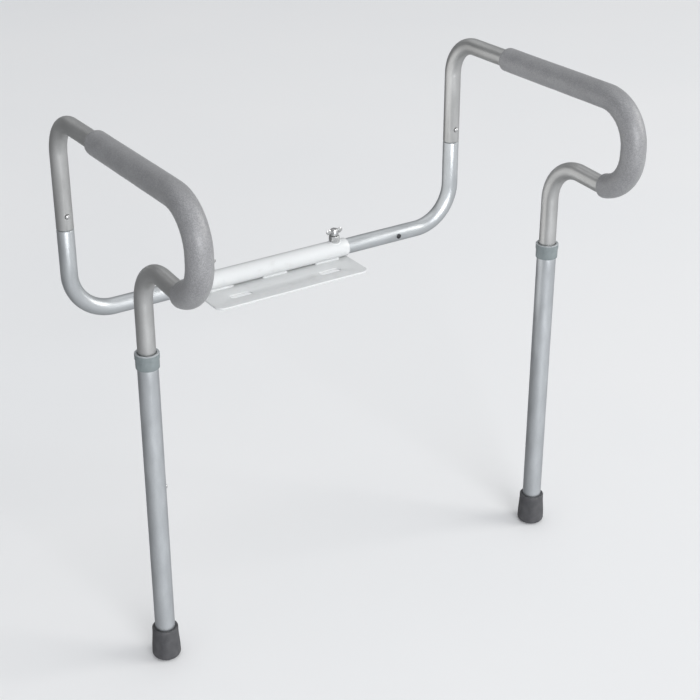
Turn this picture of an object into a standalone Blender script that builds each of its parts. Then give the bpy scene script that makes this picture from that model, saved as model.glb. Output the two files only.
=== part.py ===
"""Toilet safety frame: two padded arms on a bracket that bolts under the toilet seat.

Metres, +Z up.  The origin is midway between the two seat bolts, on the underside of
the bracket.  The user sits facing -Y, and +X is on the right of someone facing the
frame.  Each arm slides sideways in the bracket, each leg slides down the arm, and the
two arms are the same part, so both height buttons face +X.
"""
import bpy
import bmesh
from math import pi, sin, cos, radians
from mathutils import Matrix, Vector

# ---------------------------------------------------------------- driving dimensions
GAP = 0.0003                  # clearance between pieces that touch

# Tubes: 7/8 inch arms and rear tubes, 1 inch legs and bracket tube
TUBE_R = 0.0111
TUBE_BORE_R = 0.0099
LEG_R = 0.0127
LEG_BORE_R = 0.01145
BEND_SIDES = 16               # facets round a bent tube
LEG_SIDES = 24                # facets round a straight tube and what fits on it

# Where the tubes run
ARM_X = 0.296                 # from the centre to each arm
REAR_Y = 0.036                # rear tubes behind the seat bolts
REAR_Z = 0.016                # axis of the bracket tube over the bracket's underside
JOINT_Z = 0.137               # lower end of the arm tube, on the rear tube's shoulder
ARMREST_Z = 0.282             # axis of the straight armrest
FLOOR_Z = -0.377              # underside of the rubber tips

# Bends, as radii of the tube's axis
REAR_BEND_R = 0.058
TOP_BEND_R = 0.048
FRONT_BEND_R = 0.053
RETURN_BEND_R = 0.052
REACH = 0.365                 # from the rear tube to the front of the hand loop
LEG_REACH = 0.219             # from the rear tube to the leg
LOOP_DROP = 0.0075            # straight part at the front of the hand loop
RETURN_RISE = radians(4)      # the short return tube climbs as it runs back

# Height: a row of holes in the leg, an inch apart
HOLE_PITCH = 0.0254
HEIGHT_HOLES = 7
TOP_HOLE_Z = 0.023
ARM_END_BELOW_BUTTON = 0.022

# Bracket
BRACKET_HALF = 0.118
PLATE_T = 0.003
PLATE_FRONT = -0.026
PLATE_BACK = 0.050
PLATE_CORNER_R = 0.010
SEAT_BOLT_X = 0.070
SLOT_HALF_LENGTH = 0.011      # between the centres of a slot's round ends, halved
SLOT_R = 0.0055
CLAMP_X = 0.100
CUT_HALF = 0.005              # half the length of the cylinders that cut small holes
REAR_TUBE_END = 0.079         # inner end of each rear tube inside the bracket tube

# Foam, collar and rubber tip
FOAM_R = 0.0155
FOAM_START = 0.1175           # from the rear tube to the foam's rear end
LOOP_STEPS = 8                # rings in each bend of the hand loop
FOAM_CHAMFER = 0.003
COLLAR_R = 0.015
COLLAR_TOP_Z = 0.057
COLLAR_H = 0.020
COLLAR_LIP = 0.004
COLLAR_RIM = 0.0012
TIP_TOP_R = 0.0166
TIP_FOOT_R = 0.0183
TIP_EDGE_R = 0.006
TIP_LIP = 0.001
TIP_H = 0.044
TIP_BASE = 0.012
WASHER_T = 0.0015
WASHER_R = 0.0123
WASHER_BORE_R = 0.004

# Snap buttons
BUTTON_R = 0.003
BUTTON_HOLE_R = 0.0034
BUTTON_PROUD = 0.0025         # how far a button stands out of the outer tube
FLANGE_R = 0.0042
FLANGE_T = 0.001
DOME_H = 0.0015
REAR_BUTTON_Z = 0.1555
SPIGOT_R = 0.0096             # reduced end of the rear tube inside the arm tube
SPIGOT_BORE_R = 0.0084
SPIGOT_TOP_Z = 0.185
SWAGE_LENGTH = 0.003
SPRING_T = 0.0006
SPRING_HALF_WIDTH = 0.003
SPRING_LENGTH = 0.026
SPRING_SHARE_ABOVE = 0.3      # how much of the spring is above the button's centre

# Clamp screws and stop rivets
SCREW_R = 0.003
NUT_R = 0.0075
NUT_H = 0.008
NUT_BORE_R = 0.0034
WING_HALF_LENGTH = 0.013
WING_R = 0.0035
WING_H = 0.009
WING_STEP = 0.0012            # the wings start above the hub's base and end above its top
HUB_R = 0.006
RIVET_X = 0.2013
RIVET_HEAD_R = 0.0036
RIVET_SHANK_R = 0.0016
RIVET_HOLE_R = 0.002
RIVET_HEAD_H = 0.0013
RIVET_DEPTH = 0.003

# Derived heights
COLLAR_BOTTOM_Z = COLLAR_TOP_Z - COLLAR_H
LEG_TOP_Z = COLLAR_TOP_Z - COLLAR_LIP - GAP
WASHER_Z = FLOOR_Z + TIP_BASE + GAP
LEG_BOTTOM_Z = WASHER_Z + WASHER_T + GAP
BUTTON_Z = TOP_HOLE_Z - (HEIGHT_HOLES - 1) * HOLE_PITCH
ARM_END_Z = BUTTON_Z - ARM_END_BELOW_BUTTON
SLEEVE_TOP_Z = REAR_Z + LEG_R
NUT_Z = SLEEVE_TOP_Z + GAP

SIDES = (("left", -1), ("right", 1))


# ---------------------------------------------------------------- scene and materials
def clear_scene():
    for obj in list(bpy.data.objects):
        bpy.data.objects.remove(obj, do_unlink=True)


def material(name, colour, roughness, metallic=0.0):
    mat = bpy.data.materials.new(name)
    mat.use_nodes = True
    shader = mat.node_tree.nodes["Principled BSDF"]
    shader.inputs["Base Color"].default_value = (*colour, 1)
    shader.inputs["Roughness"].default_value = roughness
    shader.inputs["Metallic"].default_value = metallic
    return mat


def make_materials():
    return {
        "satin_aluminium": material("satin_aluminium", (0.42, 0.42, 0.41), 0.42, 0.9),
        "bright_aluminium": material("bright_aluminium", (0.66, 0.68, 0.70), 0.22, 1.0),
        "white_paint": material("white_paint", (0.82, 0.83, 0.83), 0.45),
        "foam": material("foam", (0.16, 0.16, 0.17), 0.9),
        "collar_plastic": material("collar_plastic", (0.20, 0.23, 0.24), 0.55),
        "tip_rubber": material("tip_rubber", (0.08, 0.08, 0.085), 0.8),
        "plated_steel": material("plated_steel", (0.55, 0.55, 0.54), 0.3, 1.0),
        "dark_steel": material("dark_steel", (0.07, 0.07, 0.072), 0.4, 1.0),
    }


def make_object(name, bm, mat):
    """Turn a bmesh into a named object, with its round faces shaded smooth."""
    bmesh.ops.recalc_face_normals(bm, faces=bm.faces)
    mesh = bpy.data.meshes.new(name)
    bm.to_mesh(mesh)
    bm.free()
    mesh.shade_smooth()
    mesh.set_sharp_from_angle(angle=radians(40))
    mesh.materials.append(mat)
    obj = bpy.data.objects.new(name, mesh)
    bpy.context.scene.collection.objects.link(obj)
    return obj


def place_origin(obj, point):
    """Move an object's origin to a point without moving its mesh."""
    obj.data.transform(Matrix.Translation(-Vector(point)))
    obj.location = point


def joint_empty(name, point):
    """An empty on a joint's axis, which carries the pieces that move with it."""
    empty = bpy.data.objects.new(name, None)
    bpy.context.scene.collection.objects.link(empty)
    empty.location = point
    return empty


def attach(objects, parent, parent_point):
    """Parent objects to one that stands at a point, leaving them where they are."""
    for obj in objects:
        obj.parent = parent
        obj.matrix_parent_inverse = Matrix.Translation(-Vector(parent_point))


# ---------------------------------------------------------------- shapes
def add_ring(bm, centre, across, up, radius, sides):
    """One ring of vertices round a point, in the plane of two unit vectors."""
    angles = [2 * pi * (k + 0.5) / sides for k in range(sides)]
    return [bm.verts.new(centre + (across * cos(a) + up * sin(a)) * radius) for a in angles]


def join_rings(bm, first, second):
    count = len(first)
    for k in range(count):
        after = (k + 1) % count
        bm.faces.new((first[k], first[after], second[after], second[k]))


def hollow_tube(name, stations, side_axis, sides, mat):
    """A tube through stations of (centre, direction, outer radius, bore radius)."""
    bm = bmesh.new()
    outer = []
    inner = []
    for centre, direction, radius, bore in stations:
        up = direction.cross(side_axis).normalized()
        outer.append(add_ring(bm, centre, side_axis, up, radius, sides))
        inner.append(add_ring(bm, centre, side_axis, up, bore, sides))
    for rings in (outer, inner):
        for first, second in zip(rings, rings[1:]):
            join_rings(bm, first, second)
    join_rings(bm, outer[0], inner[0])
    join_rings(bm, outer[-1], inner[-1])
    return make_object(name, bm, mat)


def turned(name, profile, mat, sides=LEG_SIDES, axis=Vector((0, 0, 1)), centre=(0, 0, 0)):
    """A closed profile of (radius, height) points turned round an axis through a centre."""
    centre = Vector(centre)
    turn = axis.to_track_quat("Z", "Y").to_matrix()
    across = turn @ Vector((1, 0, 0))
    up = turn @ Vector((0, 1, 0))
    bm = bmesh.new()
    rings = []
    for radius, height in profile:
        point = centre + axis * height
        if radius == 0:
            rings.append([bm.verts.new(point)])
        else:
            rings.append(add_ring(bm, point, across, up, radius, sides))
    for first, second in zip(rings, rings[1:] + rings[:1]):
        if len(first) == len(second) > 1:
            join_rings(bm, first, second)
        elif len(first) != len(second):
            hub, rim = (first[0], second) if len(first) == 1 else (second[0], first)
            for k in range(sides):
                bm.faces.new((hub, rim[k], rim[(k + 1) % sides]))
    return make_object(name, bm, mat)


def extruded(name, outline, low, high, mat):
    """A flat outline of (x, y) points extruded from one height to another."""
    bm = bmesh.new()
    base = bm.faces.new([bm.verts.new((x, y, low)) for x, y in outline])
    raised = bmesh.ops.extrude_face_region(bm, geom=[base])["geom"]
    verts = [item for item in raised if isinstance(item, bmesh.types.BMVert)]
    bmesh.ops.translate(bm, verts=verts, vec=(0, 0, high - low))
    return make_object(name, bm, mat)


def round_rectangle(x0, x1, y0, y1, radius, steps=5):
    """Outline of a rectangle whose corners are quarter circles."""
    corners = ((x1 - radius, y1 - radius, 0), (x0 + radius, y1 - radius, 1),
               (x0 + radius, y0 + radius, 2), (x1 - radius, y0 + radius, 3))
    outline = []
    for cx, cy, quarter in corners:
        for k in range(steps + 1):
            angle = (quarter + k / steps) * pi / 2
            outline.append((cx + radius * cos(angle), cy + radius * sin(angle)))
    return outline


def round_ended(x, y, half, radius, steps=8):
    """Outline of a slot along X: half circles about two centres."""
    outline = []
    for end in (1, -1):
        for k in range(steps + 1):
            angle = pi * (k / steps - 0.5)
            across = end * (half + radius * cos(angle))
            outline.append((x + across, y + end * radius * sin(angle)))
    return outline


def cutter(name, pieces):
    """One hidden cutting object made of (centre, axis, radius) cylinders."""
    bm = bmesh.new()
    for centre, axis, radius in pieces:
        turn = Vector(axis).to_track_quat("Z", "Y").to_matrix().to_4x4()
        bmesh.ops.create_cone(bm, cap_ends=True, segments=12, radius1=radius, radius2=radius,
                              depth=2 * CUT_HALF, matrix=Matrix.Translation(centre) @ turn)
    mesh = bpy.data.meshes.new(name)
    bm.to_mesh(mesh)
    bm.free()
    obj = bpy.data.objects.new(name, mesh)
    bpy.context.scene.collection.objects.link(obj)
    hide_cutter(obj)
    return obj


def hide_cutter(obj):
    obj.hide_render = True
    obj.display_type = "WIRE"


def boolean(obj, other, operation="DIFFERENCE"):
    mod = obj.modifiers.new(operation.title(), "BOOLEAN")
    mod.object = other
    mod.operation = operation
    mod.solver = "EXACT"


# ---------------------------------------------------------------- paths of the bent tubes
class Path:
    """A flat path of straight runs and arcs, as distances forward and up."""

    def __init__(self, forward, up, heading):
        self.forward = forward
        self.up = up
        self.heading = heading
        self.points = [(forward, up, heading)]

    def line(self, length):
        self.forward += length * cos(self.heading)
        self.up += length * sin(self.heading)
        self.points.append((self.forward, self.up, self.heading))

    def bend(self, radius, angle, steps):
        """Turn left by a positive angle and right by a negative one."""
        side = 1 if angle > 0 else -1
        centre_f = self.forward - side * radius * sin(self.heading)
        centre_u = self.up + side * radius * cos(self.heading)
        start = self.heading
        for k in range(1, steps + 1):
            self.heading = start + angle * k / steps
            self.forward = centre_f + side * radius * sin(self.heading)
            self.up = centre_u - side * radius * cos(self.heading)
            self.points.append((self.forward, self.up, self.heading))


def arm_path():
    """Axis of an arm tube: up, forward, round the hand loop, back, and down to the leg."""
    path = Path(0, JOINT_Z, pi / 2)
    path.line(ARMREST_Z - TOP_BEND_R - JOINT_Z)
    path.bend(TOP_BEND_R, -pi / 2, 7)
    path.line(FOAM_START - path.forward)
    path.line(REACH - FRONT_BEND_R - path.forward)
    path.bend(FRONT_BEND_R, -pi / 2, LOOP_STEPS)
    path.line(LOOP_DROP)
    path.bend(FRONT_BEND_R, -(pi / 2 + RETURN_RISE), LOOP_STEPS)
    bend_start = LEG_REACH + RETURN_BEND_R * (1 + sin(RETURN_RISE))
    path.line((path.forward - bend_start) / cos(RETURN_RISE))
    path.bend(RETURN_BEND_R, pi / 2 + RETURN_RISE, 7)
    path.line(path.up - ARM_END_Z)
    return path.points


def arm_stations(points, x, outer, bore):
    """Turn an arm's path into tube stations in the plane of that arm."""
    stations = []
    for forward, up, heading in points:
        centre = Vector((x, REAR_Y - forward, up))
        direction = Vector((0, -cos(heading), sin(heading)))
        stations.append((centre, direction, outer, bore))
    return stations


def foam_stations(x):
    """The foam ends one ring short of where the hand loop turns into the return tube."""
    points = arm_path()
    start = min(i for i, p in enumerate(points) if p[0] > FOAM_START - GAP)
    headings = [p[2] for p in points]
    end = headings.index(min(headings))
    stations = arm_stations(points[start:end], x, FOAM_R, TUBE_R + GAP)
    return chamfered_ends(stations)


def chamfered_ends(stations):
    """Draw the outer edge in a little at both ends of a foam grip."""
    small = FOAM_R - FOAM_CHAMFER / 2
    head = inward_from(stations[0], stations[1])
    tail = inward_from(stations[-1], stations[-2])
    rear, front = [(end[0], end[1], small, end[3]) for end in (stations[0], stations[-1])]
    return [rear, head, *stations[1:-1], tail, front]


def inward_from(end, neighbour):
    """A station a chamfer's length in from an end, on the way to its neighbour."""
    share = FOAM_CHAMFER / (neighbour[0] - end[0]).length
    direction = end[1].lerp(neighbour[1], share).normalized()
    return (end[0].lerp(neighbour[0], share), direction, end[2], end[3])


# ---------------------------------------------------------------- bracket
def make_bracket(mats):
    outline = round_rectangle(-BRACKET_HALF, BRACKET_HALF, PLATE_FRONT, PLATE_BACK, PLATE_CORNER_R)
    plate = extruded("bracket_plate", outline, 0, PLATE_T, mats["white_paint"])
    for index, x in enumerate((-SEAT_BOLT_X, SEAT_BOLT_X)):
        slot = round_ended(x, 0, SLOT_HALF_LENGTH, SLOT_R)
        cut = extruded(f"slot_cutter_{index}", slot, -PLATE_T, 2 * PLATE_T, mats["white_paint"])
        hide_cutter(cut)
        boolean(plate, cut)

    ends = [Vector((x, REAR_Y, REAR_Z)) for x in (-BRACKET_HALF, BRACKET_HALF)]
    along = Vector((1, 0, 0))
    stations = [(end, along, LEG_R, LEG_BORE_R) for end in ends]
    sleeve = hollow_tube("bracket_tube", stations, Vector((0, 1, 0)), LEG_SIDES, mats["white_paint"])
    holes = [((x, REAR_Y, SLEEVE_TOP_Z), (0, 0, 1), NUT_BORE_R) for x in (-CLAMP_X, CLAMP_X)]
    boolean(sleeve, cutter("clamp_hole_cutter", holes))


def make_clamp(side, sign, mats):
    """A hexagon nut welded on the bracket tube, and the wing screw through it."""
    x = sign * CLAMP_X
    nut_profile = [(NUT_BORE_R, 0), (NUT_R, 0), (NUT_R, NUT_H), (NUT_BORE_R, NUT_H)]
    turned(f"{side}_clamp_nut", nut_profile, mats["plated_steel"], 6, centre=(x, REAR_Y, NUT_Z))

    tip = REAR_Z + TUBE_R + GAP
    hub_low = NUT_Z + NUT_H + 2 * GAP
    hub_high = hub_low + WING_H
    profile = [(0, tip), (SCREW_R, tip), (SCREW_R, hub_low), (HUB_R, hub_low),
               (HUB_R, hub_high), (0, hub_high)]
    screw = turned(f"{side}_clamp_screw", profile, mats["plated_steel"], 12,
                   centre=(x, REAR_Y, 0))
    outline = round_ended(x, REAR_Y, WING_HALF_LENGTH - WING_R, WING_R)
    wings = extruded(f"{side}_wing_shape", outline, hub_low + WING_STEP, hub_high + WING_STEP,
                     mats["plated_steel"])
    hide_cutter(wings)
    boolean(screw, wings, "UNION")
    axis_point = (x, REAR_Y, hub_low)
    place_origin(screw, axis_point)
    attach([wings], screw, axis_point)


# ---------------------------------------------------------------- rear tubes
def make_rear_tube(side, sign, mats):
    """From the bracket outwards, up through one bend, and a reduced end into the arm."""
    path = Path(REAR_TUBE_END, REAR_Z, 0)
    path.line(ARM_X - REAR_BEND_R - path.forward)
    path.bend(REAR_BEND_R, pi / 2, 8)
    path.line(JOINT_Z - GAP - SWAGE_LENGTH - path.up)
    stations = []
    for outward, up, heading in path.points:
        centre = Vector((sign * outward, REAR_Y, up))
        direction = Vector((sign * cos(heading), 0, sin(heading)))
        stations.append((centre, direction, TUBE_R, TUBE_BORE_R))
    upward = Vector((0, 0, 1))
    for z, radius, bore in ((JOINT_Z - GAP, SPIGOT_R, SPIGOT_BORE_R),
                            (SPIGOT_TOP_Z, SPIGOT_R, SPIGOT_BORE_R)):
        stations.append((Vector((sign * ARM_X, REAR_Y, z)), upward, radius, bore))
    tube = hollow_tube(f"{side}_rear_tube", stations, Vector((0, 1, 0)), BEND_SIDES,
                       mats["bright_aluminium"])
    holes = [((sign * ARM_X, REAR_Y - SPIGOT_R, REAR_BUTTON_Z), (0, 1, 0), BUTTON_HOLE_R),
             ((sign * RIVET_X, REAR_Y - TUBE_R, REAR_Z), (0, 1, 0), RIVET_HOLE_R)]
    boolean(tube, cutter(f"{side}_rear_hole_cutter", holes))

    head = TUBE_R + GAP
    profile = [(0, head - RIVET_DEPTH), (RIVET_SHANK_R, head - RIVET_DEPTH),
               (RIVET_SHANK_R, head), (RIVET_HEAD_R, head),
               (RIVET_HEAD_R * 0.8, head + RIVET_HEAD_H * 0.7), (0, head + RIVET_HEAD_H)]
    rivet = turned(f"{side}_stop_rivet", profile, mats["dark_steel"], 12,
                   Vector((0, -1, 0)), (sign * RIVET_X, REAR_Y, REAR_Z))
    return [tube, rivet]


# ---------------------------------------------------------------- arms
def make_arm(side, sign, mats):
    x = sign * ARM_X
    stations = arm_stations(arm_path(), x, TUBE_R, TUBE_BORE_R)
    tube = hollow_tube(f"{side}_arm_tube", stations, Vector((1, 0, 0)), BEND_SIDES,
                       mats["satin_aluminium"])
    holes = [((x, REAR_Y - TUBE_R, REAR_BUTTON_Z), (0, 1, 0), BUTTON_HOLE_R),
             ((x + TUBE_R, REAR_Y - LEG_REACH, BUTTON_Z), (1, 0, 0), BUTTON_HOLE_R)]
    boolean(tube, cutter(f"{side}_arm_hole_cutter", holes))
    grip = hollow_tube(f"{side}_foam_grip", foam_stations(x), Vector((1, 0, 0)), BEND_SIDES,
                       mats["foam"])
    return [tube, grip]


def make_button(name, centre, axis, flange_top, tip, mats):
    """A domed snap button: a flange behind the tube wall and a stem through the holes."""
    stem = tip - DOME_H
    profile = [(0, flange_top - FLANGE_T), (FLANGE_R, flange_top - FLANGE_T),
               (FLANGE_R, flange_top), (BUTTON_R, flange_top), (BUTTON_R, stem)]
    for k in (1, 2):
        angle = k * pi / 6
        profile.append((BUTTON_R * cos(angle), stem + DOME_H * sin(angle)))
    profile.append((0, tip))
    button = turned(name, profile, mats["plated_steel"], 12, axis, centre)
    place_origin(button, Vector(centre) + axis * tip)
    return button


def make_spring(name, centre, axis, front, back, mats):
    """A strip of spring steel bent to a U, from behind the button to the far wall."""
    reach = (front - back) / 2
    middle = (front + back) / 2
    outside = []
    inside = []
    top = SPRING_LENGTH * SPRING_SHARE_ABOVE
    low = reach + top - SPRING_LENGTH
    steps = 6
    for k in range(steps + 1):
        angle = pi * k / steps
        for line, radius in ((outside, reach), (inside, reach - SPRING_T)):
            line.append((middle + radius * cos(angle), low - radius * sin(angle)))
    outline = [(front, top), *outside, (back, top), (back + SPRING_T, top), *reversed(inside),
               (front - SPRING_T, top)]
    width = axis.cross(Vector((0, 0, 1)))
    bm = bmesh.new()
    loops = []
    for half in (-SPRING_HALF_WIDTH, SPRING_HALF_WIDTH):
        points = [Vector(centre) + axis * d + Vector((0, 0, h)) + width * half for d, h in outline]
        loops.append([bm.verts.new(p) for p in points])
    count = len(outline)
    for k in range(count):
        after = (k + 1) % count
        bm.faces.new((loops[0][k], loops[0][after], loops[1][after], loops[1][k]))
    # the strip's two edges, as pairs of matching points on its two faces
    for loop in loops:
        for k in range(count // 2 - 1):
            bm.faces.new((loop[k], loop[k + 1], loop[count - 2 - k], loop[count - 1 - k]))
    return make_object(name, bm, mats["plated_steel"])


def make_snap_fittings(side, sign, mats):
    """The button and spring at the rear joint, and those that set the leg's height."""
    x = sign * ARM_X
    forward = Vector((0, -1, 0))
    rear = (x, REAR_Y, REAR_BUTTON_Z)
    flange = (SPIGOT_BORE_R ** 2 - FLANGE_R ** 2) ** 0.5 - 2 * GAP
    tip = TUBE_R + BUTTON_PROUD
    rear_button = make_button(f"{side}_rear_button", rear, forward, flange, tip, mats)
    back = -(SPIGOT_BORE_R ** 2 - SPRING_HALF_WIDTH ** 2) ** 0.5 + 2 * GAP
    front = flange - FLANGE_T - GAP
    rear_spring = make_spring(f"{side}_rear_spring", rear, forward, front, back, mats)

    to_right = Vector((1, 0, 0))
    low = (x, REAR_Y - LEG_REACH, BUTTON_Z)
    flange = (TUBE_BORE_R ** 2 - FLANGE_R ** 2) ** 0.5 - 2 * GAP
    tip = LEG_R + BUTTON_PROUD
    leg_button = make_button(f"{side}_leg_button", low, to_right, flange, tip, mats)
    back = -(TUBE_BORE_R ** 2 - SPRING_HALF_WIDTH ** 2) ** 0.5 + 2 * GAP
    front = flange - FLANGE_T - GAP
    leg_spring = make_spring(f"{side}_leg_spring", low, to_right, front, back, mats)
    return [rear_button, rear_spring, leg_button, leg_spring]


# ---------------------------------------------------------------- legs
def make_leg(side, sign, mats):
    x = sign * ARM_X
    y = REAR_Y - LEG_REACH
    upward = Vector((0, 0, 1))
    stations = [(Vector((x, y, z)), upward, LEG_R, LEG_BORE_R) for z in (LEG_BOTTOM_Z, LEG_TOP_Z)]
    leg = hollow_tube(f"{side}_leg_tube", stations, Vector((1, 0, 0)), LEG_SIDES,
                      mats["satin_aluminium"])
    holes = [((x + LEG_R, y, TOP_HOLE_Z - k * HOLE_PITCH), (1, 0, 0), BUTTON_HOLE_R)
             for k in range(HEIGHT_HOLES)]
    boolean(leg, cutter(f"{side}_height_hole_cutter", holes))

    socket = LEG_R + GAP
    bore = TUBE_R + 2 * GAP
    profile = [(socket, 0), (COLLAR_R - COLLAR_RIM, 0), (COLLAR_R, COLLAR_RIM),
               (COLLAR_R, COLLAR_H - COLLAR_RIM), (COLLAR_R - COLLAR_RIM, COLLAR_H),
               (bore, COLLAR_H), (bore, COLLAR_H - COLLAR_LIP), (socket, COLLAR_H - COLLAR_LIP)]
    collar = turned(f"{side}_leg_collar", profile, mats["collar_plastic"],
                    centre=(x, y, COLLAR_BOTTOM_Z))

    sole_r = TIP_FOOT_R - TIP_EDGE_R
    profile = [(0, 0), (sole_r, 0)]
    for k in (1, 2, 3):
        angle = k * pi / 6
        profile.append((sole_r + TIP_EDGE_R * sin(angle), TIP_EDGE_R * (1 - cos(angle))))
    profile += [(TIP_TOP_R, TIP_H - TIP_LIP), (TIP_TOP_R - TIP_LIP, TIP_H), (socket, TIP_H),
                (socket, TIP_BASE), (0, TIP_BASE)]
    tip = turned(f"{side}_foot_tip", profile, mats["tip_rubber"], centre=(x, y, FLOOR_Z))

    profile = [(WASHER_BORE_R, 0), (WASHER_R, 0), (WASHER_R, WASHER_T), (WASHER_BORE_R, WASHER_T)]
    washer = turned(f"{side}_tip_washer", profile, mats["plated_steel"], centre=(x, y, WASHER_Z))
    return [leg, collar, tip, washer]


def main():
    clear_scene()
    mats = make_materials()
    make_bracket(mats)
    for side, sign in SIDES:
        make_clamp(side, sign, mats)
        arm_pieces = make_rear_tube(side, sign, mats)
        arm_pieces += make_arm(side, sign, mats)
        arm_pieces += make_snap_fittings(side, sign, mats)
        leg_pieces = make_leg(side, sign, mats)

        arm_point = (sign * BRACKET_HALF, REAR_Y, REAR_Z)
        arm_slide = joint_empty(f"{side}_arm_slide", arm_point)
        leg_point = (sign * ARM_X, REAR_Y - LEG_REACH, COLLAR_TOP_Z)
        leg_slide = joint_empty(f"{side}_leg_slide", leg_point)
        attach(leg_pieces, leg_slide, leg_point)
        attach([*arm_pieces, leg_slide], arm_slide, arm_point)


main()
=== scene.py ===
"""Looks of a toilet safety frame: smooth tubes, foam grips and fittings round the CAD frame.

Metres, +Z up, in the CAD's own frame: the origin is under the bracket plate, midway
between the seat bolts, and the seated person faces -Y.
"""

from math import cos, pi, radians, sin, sqrt, tau

import bmesh
import bpy
from mathutils import Matrix, Vector, noise


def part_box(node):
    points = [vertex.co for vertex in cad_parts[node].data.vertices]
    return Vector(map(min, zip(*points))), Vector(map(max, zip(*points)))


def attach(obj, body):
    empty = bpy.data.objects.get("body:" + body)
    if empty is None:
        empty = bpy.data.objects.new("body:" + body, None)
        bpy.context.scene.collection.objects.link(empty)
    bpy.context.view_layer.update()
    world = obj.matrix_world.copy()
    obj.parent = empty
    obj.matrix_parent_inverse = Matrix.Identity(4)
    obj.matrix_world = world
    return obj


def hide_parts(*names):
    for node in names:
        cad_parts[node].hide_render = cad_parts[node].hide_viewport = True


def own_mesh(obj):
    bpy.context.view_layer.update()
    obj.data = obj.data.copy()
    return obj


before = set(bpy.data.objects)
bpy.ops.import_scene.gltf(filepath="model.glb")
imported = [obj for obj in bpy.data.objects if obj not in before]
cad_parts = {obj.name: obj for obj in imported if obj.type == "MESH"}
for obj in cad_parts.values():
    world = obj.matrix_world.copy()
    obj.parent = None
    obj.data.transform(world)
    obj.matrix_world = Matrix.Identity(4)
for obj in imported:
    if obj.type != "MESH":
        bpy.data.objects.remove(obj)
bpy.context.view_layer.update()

# -------- sizes from the frame
SIDES = (("left", -1), ("right", 1))
X_AXIS = Vector((1, 0, 0))
Y_AXIS = Vector((0, 1, 0))
Z_AXIS = Vector((0, 0, 1))
# A CAD tube's flats stand this far in from its true radius: bent tubes have 16 sides and
# straight ones 24
BENT_FACET = cos(pi / 16)
STRAIGHT_FACET = cos(pi / 24)


def centre_of(node):
    low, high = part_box(node)
    return (low + high) / 2


def half_size(node):
    low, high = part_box(node)
    return (high - low) / 2


def between(first, last, share):
    return first + (last - first) * share


ARM_X = centre_of("right_leg_tube").x
LEG_Y = centre_of("right_leg_tube").y
REAR_Y = centre_of("bracket_tube").y
REAR_Z = centre_of("bracket_tube").z
FLOOR_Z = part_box("right_foot_tip")[0].z
BRACKET_HALF = half_size("bracket_tube").x
CLAMP_X = centre_of("right_clamp_nut").x

TUBE_R = half_size("right_arm_tube").x / BENT_FACET
FOAM_R = half_size("right_foam_grip").x / BENT_FACET
LEG_R = half_size("right_leg_tube").x / STRAIGHT_FACET
COLLAR_R = half_size("right_leg_collar").x / STRAIGHT_FACET
TIP_FOOT_R = half_size("right_foot_tip").x / STRAIGHT_FACET
WALL = 0.0012
SLEEVE_WALL = 0.00125
GAP = 0.0003                   # what is left between pieces that slide or turn
FIT = 0.0001                   # what is left between pieces that look tight

# The tubes' axes
ARMREST_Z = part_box("right_arm_tube")[1].z - TUBE_R * BENT_FACET
ARM_END_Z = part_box("right_arm_tube")[0].z
JOINT_Z = 0.137
REAR_BEND_R = 0.058
TOP_BEND_R = 0.048
FRONT_BEND_R = 0.053
RETURN_BEND_R = 0.052
RETURN_RISE = radians(4)
LOOP_DROP = 0.0075
REACH = REAR_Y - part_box("right_arm_tube")[0].y - TUBE_R * BENT_FACET
LEG_REACH = REAR_Y - LEG_Y
FOAM_START = REAR_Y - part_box("right_foam_grip")[1].y

# Holes, buttons and the reduced ends inside the arm tubes
HOLE_R = 0.0034
BUTTON_R = 0.003
REAR_BUTTON_Z = centre_of("right_rear_button").z
LEG_BUTTON_Z = centre_of("right_leg_button").z
HOLE_PITCH = 0.0254
HEIGHT_HOLES = 7
SEAT_BOLT_X = 0.070
SLOT_HALF = 0.011
SLOT_R = 0.0055
SPIGOT_R = 0.0096
SPIGOT_BORE_R = 0.0084
SPIGOT_TOP_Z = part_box("right_rear_tube")[1].z
SHOULDER = 0.0014              # where a rear tube narrows to enter its arm tube
SHOULDER_RINGS = 6
RIVET_X = centre_of("right_stop_rivet").x
RIVET_HOLE_R = 0.0018
SPRING_T = 0.0006
SPRING_WIDTH = 0.006
SPRING_STEP = 0.001            # between a spring's rings, roughly
WASHER_BORE_R = 0.004
TIP_TOP_R = 0.0166

ROUND = 64                     # sides of a visible round piece
ARC_STEP = radians(3)          # turn between rings in a bend
SMOOTH = 35                    # faces that meet at less than this shade as one, in degrees


# -------- meshes
def finish_mesh(name, bm, mat, smooth=SMOOTH):
    bmesh.ops.recalc_face_normals(bm, faces=bm.faces)
    mesh = bpy.data.meshes.new(name)
    bm.to_mesh(mesh)
    bm.free()
    mesh.shade_smooth()
    mesh.set_sharp_from_angle(angle=radians(smooth))
    mesh.materials.append(mat)
    obj = bpy.data.objects.new(name, mesh)
    bpy.context.scene.collection.objects.link(obj)
    return obj


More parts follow.
